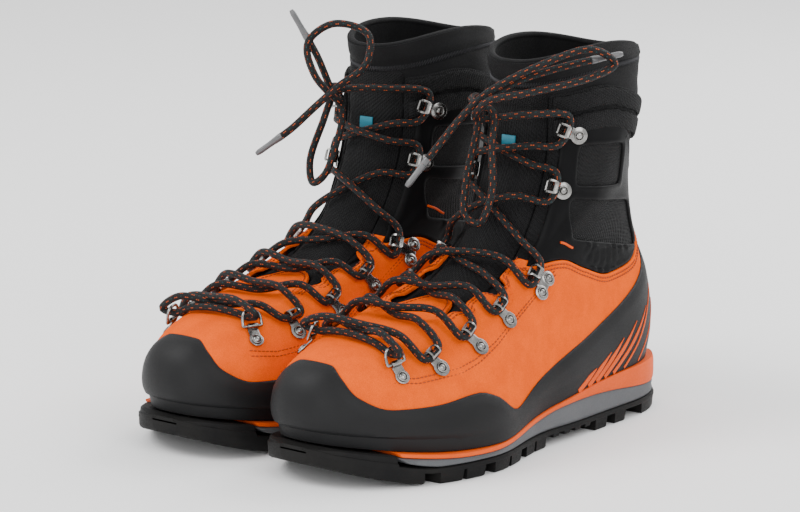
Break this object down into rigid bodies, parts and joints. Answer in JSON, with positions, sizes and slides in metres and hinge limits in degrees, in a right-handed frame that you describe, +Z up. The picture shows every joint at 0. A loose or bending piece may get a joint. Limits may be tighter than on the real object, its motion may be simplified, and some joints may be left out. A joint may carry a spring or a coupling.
{
  "type": "mountaineering boots",
  "caption": "Pair of laced mountaineering boots with lugged soles, rubber rands, suede vamps, mesh ankle shells and stretch cuffs.",
  "frame": {"origin": "on the ground, midway between the two boots and midway along their length", "axes": "+Z up, toes to -Y, the wearer's left boot at +X"},
  "size_m": [0.2466, 0.311, 0.2462],
  "materials": {
    "rubber": "moulded lugged rubber",
    "midsole_foam": "matte grey",
    "welt_band": "matte orange",
    "board": "plain",
    "footbed_felt": "felted",
    "rand_rubber": "smooth matte rubber",
    "suede": "orange suede",
    "shell_mesh": "black woven mesh",
    "overlay": "matte welded overlay",
    "tongue_mesh": "padded black mesh",
    "lining": "dark lining fabric",
    "cuff_knit": "stretch fabric",
    "webbing": "woven webbing",
    "lace_cord": "braided round cord with orange and teal flecks",
    "hardware_metal": "dark nickel"
  },
  "bodies": {
    "left_boot": {"left_ankle_overlay": "overlay", "left_ankle_shell": "shell_mesh", "left_cuff_hook_a_inner": "hardware_metal", "left_cuff_hook_a_outer": "hardware_metal", "left_cuff_hook_b_inner": "hardware_metal", "left_cuff_hook_b_outer": "hardware_metal", "left_dring_inner_clip": "hardware_metal", "left_dring_outer_clip": "hardware_metal", "left_eyelet_a_inner": "hardware_metal", "left_eyelet_a_outer": "hardware_metal", "left_eyelet_b_inner": "hardware_metal", "left_eyelet_b_outer": "hardware_metal", "left_eyelet_c_inner": "hardware_metal", "left_eyelet_c_outer": "hardware_metal", "left_footbed": "footbed_felt", "left_lace": "lace_cord", "left_lasting_board": "board", "left_leather_upper": "suede", "left_lining": "lining", "left_lock_hook_inner": "hardware_metal", "left_lock_hook_outer": "hardware_metal", "left_midsole": "midsole_foam", "left_outsole": "rubber", "left_pull_strap": "webbing", "left_rand": "rand_rubber", "left_stretch_cuff": "cuff_knit", "left_tongue": "tongue_mesh", "left_welt_band": "welt_band"},
    "left_outer_ring": {"left_dring_outer_ring": "hardware_metal"},
    "left_inner_ring": {"left_dring_inner_ring": "hardware_metal"},
    "right_boot": {"right_ankle_overlay": "overlay", "right_ankle_shell": "shell_mesh", "right_cuff_hook_a_inner": "hardware_metal", "right_cuff_hook_a_outer": "hardware_metal", "right_cuff_hook_b_inner": "hardware_metal", "right_cuff_hook_b_outer": "hardware_metal", "right_dring_inner_clip": "hardware_metal", "right_dring_outer_clip": "hardware_metal", "right_eyelet_a_inner": "hardware_metal", "right_eyelet_a_outer": "hardware_metal", "right_eyelet_b_inner": "hardware_metal", "right_eyelet_b_outer": "hardware_metal", "right_eyelet_c_inner": "hardware_metal", "right_eyelet_c_outer": "hardware_metal", "right_footbed": "footbed_felt", "right_lace": "lace_cord", "right_lasting_board": "board", "right_leather_upper": "suede", "right_lining": "lining", "right_lock_hook_inner": "hardware_metal", "right_lock_hook_outer": "hardware_metal", "right_midsole": "midsole_foam", "right_outsole": "rubber", "right_pull_strap": "webbing", "right_rand": "rand_rubber", "right_stretch_cuff": "cuff_knit", "right_tongue": "tongue_mesh", "right_welt_band": "welt_band"},
    "right_outer_ring": {"right_dring_outer_ring": "hardware_metal"},
    "right_inner_ring": {"right_dring_inner_ring": "hardware_metal"}
  },
  "joints": [
    {"name": "left_outer_ring_turn", "type": "hinge", "parent": "left_boot", "child": "left_outer_ring", "pos_m": [0.0896, -0.10976, 0.06969], "axis": [-0.2501, -0.9462, -0.2052], "range_deg": [-8, 12]},
    {"name": "left_inner_ring_turn", "type": "hinge", "parent": "left_boot", "child": "left_inner_ring", "pos_m": [0.0238, -0.10899, 0.07471], "axis": [-0.3746, 0.9271, 0.0098], "range_deg": [0, 12]},
    {"name": "right_outer_ring_turn", "type": "hinge", "parent": "right_boot", "child": "right_outer_ring", "pos_m": [-0.0896, -0.10976, 0.06969], "axis": [-0.2501, 0.9462, 0.2052], "range_deg": [-8, 12]},
    {"name": "right_inner_ring_turn", "type": "hinge", "parent": "right_boot", "child": "right_inner_ring", "pos_m": [-0.0238, -0.10899, 0.07471], "axis": [-0.3746, -0.9271, -0.0098], "range_deg": [0, 12]},
    {"name": "right_boot_lift", "type": "slide", "parent": "left_boot", "child": "right_boot", "axis": [0, 0, 1], "range_m": [0, 0.3]}
  ]
}
